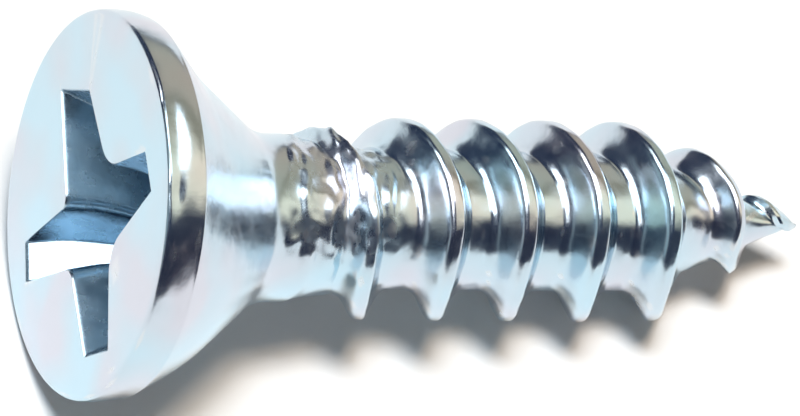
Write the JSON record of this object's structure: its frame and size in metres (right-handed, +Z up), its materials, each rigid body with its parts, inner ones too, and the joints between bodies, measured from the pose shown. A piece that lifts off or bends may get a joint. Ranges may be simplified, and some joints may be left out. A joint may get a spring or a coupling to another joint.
{
  "type": "wood screw",
  "caption": "Countersunk wood screw with a cross driver recess, short plain shank, coarse right-hand wood thread and gimlet point, in zinc-plated steel.",
  "frame": {"origin": "centre of the head's flat face", "axes": "+X out of the head's flat face, so the shank runs along -X and the point is at -X; +Z up with the screw lying on its side; +Y completes the right-handed frame"},
  "size_m": [0.0191, 0.0092, 0.0092],
  "materials": {
    "steel": "rolled carbon steel, under the plating",
    "zinc": "bright zinc plating with a thin blue passivate film"
  },
  "bodies": {
    "root": {"steel_body": "steel", "zinc_plating": "zinc"}
  },
  "joints": []
}
